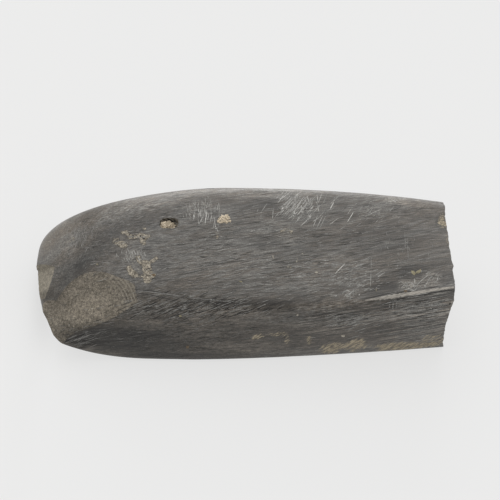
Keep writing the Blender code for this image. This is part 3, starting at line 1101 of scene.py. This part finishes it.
class Film:
    """Thin marks cast from the pixels of a view onto the stone, as one mesh."""

    def __init__(self, name, tree, eye, unseen_by=None):
        self.name = name
        self.tree = tree
        self.eye = eye
        self.unseen_by = unseen_by
        self.dice = random.Random(SEED)
        self.bm = bmesh.new()
        self.fresh = self.bm.verts.layers.float.new("fresh")

    def vert(self, place, fresh):
        made = self.bm.verts.new(place)
        made[self.fresh] = fresh
        return made

    def skips(self, place, normal):
        return self.unseen_by is not None and normal.dot(self.unseen_by.place - place) > 0.0

    def ribbon(self, points, width, fresh):
        """A scratch, or a line of painted shade, through pixels, widest in its middle."""
        pixels = []
        for start, end in zip(points, points[1:]):
            steps = max(2, round(math.dist(start, end) / SCRATCH_STEP))
            pixels += [(start, end, step / steps) for step in range(steps)]
        pixels.append((points[-2], points[-1], 1.0))
        rails = []
        for number, (start, end, share) in enumerate(pixels):
            x = blend(start[0], end[0], share)
            y = blend(start[1], end[1], share)
            place, normal = self.eye.seen_at(self.tree, x, y)
            if place is None or self.skips(place, normal):
                return
            share = number / (len(pixels) - 1)
            swell = math.sin(math.pi * blend(*SCRATCH_ENDS, share))
            rails.append((place, normal, width * swell / 2))
        along = rails[-1][0] - rails[0][0]
        if along.length > SCRATCH_LONGEST:
            return
        sides = []
        for place, normal, half in rails:
            aside = normal.cross(along).normalized() * half
            middle = place + normal * SCRATCH_LIFT
            sides.append([self.vert(middle + aside, fresh), self.vert(middle - aside, fresh)])
        for first, second in zip(sides, sides[1:]):
            self.bm.faces.new((first[0], first[1], second[1], second[0]))

    def cluster(self, x, y, wide, high, angle, spread, length, count, width, fresh):
        for _ in range(count):
            middle_x = self.dice.gauss(x, wide / 2)
            middle_y = self.dice.gauss(y, high / 2)
            turn = math.radians(self.dice.gauss(angle, spread / 2))
            half = length * self.dice.uniform(*LENGTH_RANGE) / 2
            step = (half * math.cos(turn), -half * math.sin(turn))
            start = (middle_x - step[0], middle_y - step[1])
            end = (middle_x + step[0], middle_y + step[1])
            size = width * MM * self.dice.uniform(*WIDTH_RANGE)
            self.ribbon((start, end), size, fresh * self.dice.uniform(*FRESH_RANGE))

    def strip(self, points):
        """A strip through pixels, of the half width that each point gives."""
        rows = []
        for start, end in zip(points, points[1:]):
            steps = max(1, round(math.dist(start[:2], end[:2]) / STRIP_STEP))
            for step in range(steps):
                share = step / steps
                x, y, half = [blend(start[axis], end[axis], share) for axis in range(3)]
                row = []
                for number in range(STRIP_ACROSS + 1):
                    side = 2.0 * number / STRIP_ACROSS - 1.0
                    grain = Vector((x / STRIP_GRAIN, side * STRIP_RAGS, 0.0))
                    ragged = noise.fractal(grain, *STRIP_FRACTAL)
                    offset = side * half * (1.0 + STRIP_ROUGH * ragged)
                    place, normal = self.eye.seen_at(self.tree, x, y + offset)
                    if place is not None:
                        row.append(self.vert(place + normal * STRIP_LIFT, 1.0))
                if len(row) == STRIP_ACROSS + 1:
                    rows.append(row)
        for first, second in zip(rows, rows[1:]):
            for number in range(STRIP_ACROSS):
                corners = (first[number], first[number + 1], second[number + 1], second[number])
                self.bm.faces.new(corners)

    def fleck(self, x, y, wide, high, turn, thick):
        """A low irregular flake of dirt, its rim on the stone."""
        place, normal = self.eye.seen_at(self.tree, x, y)
        top = self.vert(place + normal * FLECK_DOME, thick)
        angle = math.radians(turn)
        rim = []
        for corner in range(FLECK_CORNERS):
            about = math.tau * corner / FLECK_CORNERS
            size = 1.0 + FLECK_ROUGH * self.dice.uniform(-1.0, 1.0)
            along = math.cos(about) * wide * size
            aside = math.sin(about) * high * size
            across = along * math.cos(angle) + aside * math.sin(angle)
            down = aside * math.cos(angle) - along * math.sin(angle)
            place, normal = self.eye.seen_at(self.tree, x + across, y + down)
            rim.append(self.vert(place + normal * FLECK_LIFT, FLECK_RIM * thick))
        for corner in range(FLECK_CORNERS):
            self.bm.faces.new((top, rim[corner], rim[(corner + 1) % FLECK_CORNERS]))

    def finish(self, material):
        """The marks as one object, facing the view."""
        for face in self.bm.faces:
            face.normal_update()
            if face.normal.dot(self.eye.back) < 0.0:
                face.normal_flip()
            face.smooth = True
        return meshed(self.bm, self.name, [material])


def build_scratches_and_crease_shade(name, material, tree, eye, lines, clusters, unseen_by=None):
    film = Film(name, tree, eye, unseen_by)
    for ends, width, fresh in lines:
        film.ribbon(list(zip(ends[::2], ends[1::2])), width * MM, fresh)
    for cluster in clusters:
        film.cluster(*cluster)
    return film.finish(material)


def build_worn_highlit_strip(material, tree, eye):
    film = Film("worn_highlit_ridge", tree, eye)
    film.strip(WORN_HIGHLIT_STRIP)
    return film.finish(material)


def build_flecks(kind, material, tree, eye):
    film = Film(kind + "_flecks", tree, eye)
    for place in FLECKS[kind]:
        film.fleck(*place)
    return film.finish(material)


# Sand in the pit and the crumb beside it


def sand_lump(bm, centre, size, seed):
    for vert in ball(bm):
        grain = vert.co * SAND_GRAIN + Vector((seed, 0.0, 0.0))
        place = vert.co * (1.0 + SAND_ROUGH * noise.fractal(grain, *SAND_FRACTAL))
        vert.co = centre + Vector([place[axis] * size[axis] for axis in range(3)])


def build_sand(name, material, tree, eye, spots):
    bm = bmesh.new()
    for number, (x, y, wide, deep, thick, sink) in enumerate(spots):
        place, _ = eye.seen_at(tree, x, y)
        size = Vector((wide, deep, thick)) * MM
        sand_lump(bm, place - Vector((0.0, 0.0, sink * MM)), size, number * SAND_SEED_STEP)
    obj = as_object(bm, name, [material])
    obj.data.shade_smooth()
    return obj


# Materials


class Shader:
    """A material's node tree, with one short call for each node."""

    def __init__(self, name):
        self.material = bpy.data.materials.new(name)
        self.material.use_nodes = True
        self.tree = self.material.node_tree
        self.surface = self.tree.nodes["Principled BSDF"]
        self.place = self.node("ShaderNodeTexCoord", {}).outputs["Object"]

    def feed(self, node, inputs):
        """Sets each of these inputs, or links it where its value comes from another node."""
        for name, value in inputs.items():
            if isinstance(value, bpy.types.NodeSocket):
                self.tree.links.new(value, node.inputs[name])
            else:
                node.inputs[name].default_value = value

    def node(self, kind, inputs, **settings):
        made = self.tree.nodes.new(kind)
        for name, value in settings.items():
            setattr(made, name, value)
        self.feed(made, inputs)
        return made

    def grain(self, name):
        """The noise of that name."""
        size, turn, detail, rough, offset = GRAINS[name]
        placed = {
            "Vector": self.place,
            "Location": (offset, offset, offset),
            "Rotation": [math.radians(angle) for angle in turn],
            "Scale": [length * MM for length in size],
        }
        mapping = self.node("ShaderNodeMapping", placed, vector_type="TEXTURE")
        vector = mapping.outputs["Vector"]
        inputs = {"Vector": vector, "Scale": 1.0, "Detail": detail, "Roughness": rough}
        return self.node("ShaderNodeTexNoise", inputs).outputs["Fac"]

    def ranged(self, value, low, high, to_low=0.0, to_high=1.0):
        """value from low to high becomes to_low to to_high, and stays there past them."""
        names = ("Value", "From Min", "From Max", "To Min", "To Max")
        inputs = dict(zip(names, (value, low, high, to_low, to_high)))
        made = self.node("ShaderNodeMapRange", inputs, interpolation_type="SMOOTHSTEP")
        return made.outputs["Result"]

    def math(self, operation, first, second):
        made = self.node("ShaderNodeMath", {0: first, 1: second}, operation=operation)
        return made.outputs["Value"]

    def along_x(self):
        """How far along the stone, in metres from its middle."""
        return self.node("ShaderNodeSeparateXYZ", {"Vector": self.place}).outputs["X"]

    def blend(self, share, first, second):
        inputs = {"Factor": share, "A": first, "B": second}
        return self.node("ShaderNodeMix", inputs, data_type="FLOAT").outputs["Result"]

    def mix(self, share, first, second):
        """The same for colours."""
        inputs = {"Factor": share, "A": first, "B": second}
        for name in ("A", "B"):
            if isinstance(inputs[name], tuple):
                inputs[name] = (*inputs[name], 1.0)
        return self.node("ShaderNodeMix", inputs, data_type="RGBA").outputs["Result"]

    def add(self, first, second):
        return self.math("ADD", first, second)

    def times(self, first, second):
        return self.math("MULTIPLY", first, second)

    def shade(self, colour, amount):
        """colour times amount."""
        inputs = {0: colour, "Scale": amount}
        made = self.node("ShaderNodeVectorMath", inputs, operation="SCALE")
        return made.outputs["Vector"]

    def attribute(self, name):
        return self.node("ShaderNodeAttribute", {}, attribute_name=name).outputs["Fac"]

    def bump(self, height, distance, under=None):
        inputs = {"Height": height, "Distance": distance}
        if under is not None:
            inputs["Normal"] = under
        return self.node("ShaderNodeBump", inputs).outputs["Normal"]

    def finish(self, colour, roughness, normal):
        inputs = {"Base Color": colour, "Roughness": roughness, "Normal": normal}
        self.feed(self.surface, inputs)
        return self.material


def ground_colour(shader, lines, slants, blotches, fine):
    """The ground stone under its scuffs and dirt."""
    broad = shader.grain("broad")
    grey = shader.ranged(shader.attribute("browned"), *BROWNING)
    grey = shader.times(grey, shader.ranged(shader.blend(HUE_SHARE, lines, broad), *GREY_HUES))
    colour = shader.mix(grey, BROWN_STONE, GREY_STONE)
    combed = shader.math("MINIMUM", shader.attribute("combed"), 1.0)
    comb = shader.blend(combed, 1.0, shader.ranged(shader.grain("comb"), *COMB_SHADES))
    shades = [shader.ranged(broad, *span) for span in (BROAD_SHADES, BROWNED_SHADES)]
    for amount in (
        shader.ranged(lines, *LINE_SHADES),
        shader.ranged(slants, *SLANT_SHADES),
        comb,
        shader.ranged(blotches, *BLOTCH_SHADES),
        shader.ranged(fine, *FINE_SHADES),
        shader.blend(shader.attribute("browned"), *shades),
        # The tone spots, with painted highlight and painted shade among them
        shader.add(shader.attribute("tone_and_painted_light"), 1.0),
    ):
        colour = shader.shade(colour, amount)
    return colour


def polished_stone():
    shader = Shader("polished_stone")
    bevel = shader.ranged(shader.along_x(), *BEVEL_SPAN)
    bevel_lines = shader.ranged(shader.grain("bevel"), *BEVEL_LINES)
    lines = shader.blend(bevel, bevel_lines, shader.grain("streaks"))
    slants = shader.grain("slants")
    blotches = shader.grain("blotches")
    fine = shader.grain("fine")
    colour = ground_colour(shader, lines, slants, blotches, fine)

    scuff = shader.ranged(shader.grain("worms"), *SCUFF_EDGE)
    colour = shader.mix(shader.times(shader.attribute("scuff"), scuff), colour, SCUFF)

    smears = shader.grain("smears")
    stain = shader.add(shader.attribute("stain"), shader.ranged(smears, *SMEAR_HEIGHTS))
    stain = shader.ranged(stain, *STAIN_EDGE)
    colour = shader.mix(stain, colour, shader.shade(STAIN, shader.ranged(smears, *STAIN_SHADES)))

    lumps = shader.grain("lumps")
    crust = shader.add(shader.attribute("crust"), shader.ranged(lumps, *LUMP_HEIGHTS))
    crust = shader.ranged(crust, *CRUST_EDGE)
    crumbs = shader.ranged(shader.grain("crumbs"), *CRUMB_HUES)
    sandy = shader.mix(crumbs, DARK_CRUST, LIGHT_CRUST)
    colour = shader.mix(crust, colour, shader.shade(sandy, shader.ranged(lumps, *CRUST_SHADES)))

    height = shader.add(lines, shader.times(slants, SLANT_SHARE))
    height = shader.add(height, shader.times(fine, FINE_SHARE))
    normal = shader.bump(crust, CRUST_BUMP, shader.bump(height, POLISH_BUMP))
    dirt_over = shader.times(shader.math("MAXIMUM", crust, stain), DIRT_ROUGHENS)
    roughness = shader.add(shader.ranged(blotches, *POLISH_ROUGHNESS), dirt_over)
    return shader.finish(colour, roughness, normal)


def broken_stone():
    shader = Shader("broken_stone")
    grain = shader.grain("broken")
    coarse = shader.grain("coarse")
    patches = shader.ranged(shader.grain("patches"), *PATCH_HUES)
    colour = shader.mix(patches, DARK_BREAK, LIGHT_BREAK)
    colour = shader.shade(colour, shader.ranged(grain, *BROKEN_SHADES))
    colour = shader.shade(colour, shader.ranged(coarse, *COARSE_SHADES))
    # The tone spots, with the painted shadow on the pit's top wall among them
    colour = shader.shade(colour, shader.add(shader.attribute("tone_and_painted_light"), 1.0))
    # Painted highlight: the ripples' crests are lighter
    crest_highlight = shader.times(shader.attribute("crest_highlight"), shader.ranged(coarse, *CREST_HIGHLIGHT_EDGE))
    colour = shader.mix(crest_highlight, colour, CREST_HIGHLIGHT)
    chip = shader.shade(CHIP_COLOUR, shader.ranged(coarse, *CHIP_SHADES))
    colour = shader.mix(shader.attribute("chip"), colour, chip)
    specks = shader.ranged(shader.grain("specks"), *SPECK_EDGE)
    colour = shader.mix(specks, colour, LIGHT_CRUST)
    normal = shader.bump(shader.add(grain, coarse), BROKEN_BUMP)
    return shader.finish(colour, BROKEN_ROUGHNESS, normal)


def two_toned(name, grain, hues, colours, roughness, bump):
    shader = Shader(name)
    grain = shader.grain(grain)
    colour = shader.mix(shader.ranged(grain, *hues), *colours)
    return shader.finish(colour, roughness, shader.bump(grain, bump))


def sand():
    colours = (DARK_SAND, LIGHT_SAND)
    return two_toned("sand", "sand", SAND_HUES, colours, SAND_ROUGHNESS, SAND_BUMP)


# The ridge's strip: wear and a painted highlight
def worn_highlit_stone():
    colours = (DARK_WORN_HIGHLIGHT, LIGHT_WORN_HIGHLIGHT)
    return two_toned("worn_highlit_stone", "worn", WORN_HUES, colours, WORN_ROUGHNESS, WORN_BUMP)


def scratched_and_crease_shade():
    shader = Shader("scratched_and_crease_shade")
    grain = shader.grain("scratched_and_crease_shade")
    colour = shader.mix(shader.attribute("fresh"), DARK_SCRATCH_AND_CREASE_SHADE, LIGHT_SCRATCH)
    colour = shader.shade(colour, shader.ranged(grain, *SCRATCH_SHADES))
    return shader.finish(colour, SCRATCH_ROUGHNESS, shader.bump(grain, SCRATCH_BUMP))


def dirt(kind, colour):
    shader = Shader(kind + "_dirt")
    grain = shader.grain("broken")
    surface = shader.mix(shader.attribute("fresh"), GREY_STONE, colour)
    surface = shader.shade(surface, shader.ranged(grain, *DIRT_SHADES))
    return shader.finish(surface, DIRT_ROUGHNESS, shader.bump(grain, DIRT_BUMP))


def add_piece(piece):
    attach(piece, BODY)


def main():
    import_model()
    low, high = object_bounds()
    eye = Eye()
    stone = cut_stone([polished_stone(), broken_stone()])
    mesh = stone.data
    relieve(mesh, eye, tree_of(mesh), low, high)
    far_eye = Eye(*[math.radians(angle) for angle in FAR_EYE])
    under_eye = Eye(*[math.radians(angle) for angle in UNDER_EYE])
    for name, spots in PAINTS.items():
        paint(mesh, name, [(eye, spots)])
    stains = [(eye, STAINS), (far_eye, FAR_STAINS), (under_eye, UNDER_STAINS)]
    paint(mesh, "stain", stains, CONTACT_STAIN)
    mesh.shade_smooth()
    mesh.set_sharp_from_angle(angle=SHARP_ANGLE)
    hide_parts(NODE)
    add_piece(stone)

    tree = tree_of(mesh)
    scratch = scratched_and_crease_shade()
    add_piece(build_scratches_and_crease_shade("scratches_and_crease_shade", scratch, tree, eye, LONG_SCRATCHES_AND_CREASE_SHADE, SCRATCH_CLUSTERS))
    add_piece(build_scratches_and_crease_shade("far_scratches", scratch, tree, far_eye, (), FAR_CLUSTERS, eye))
    add_piece(build_scratches_and_crease_shade("under_scratches", scratch, tree, under_eye, (), UNDER_CLUSTERS, eye))
    add_piece(build_worn_highlit_strip(worn_highlit_stone(), tree, eye))
    for kind, colour in FLECK_COLOURS.items():
        add_piece(build_flecks(kind, dirt(kind, colour), tree, eye))
    grit = sand()
    add_piece(build_sand("pit_sand", grit, tree, eye, PIT_SAND))
    add_piece(build_sand("crumb", grit, tree, eye, CRUMB))

    build_floor()
    build_light()
    build_camera(eye)


main()
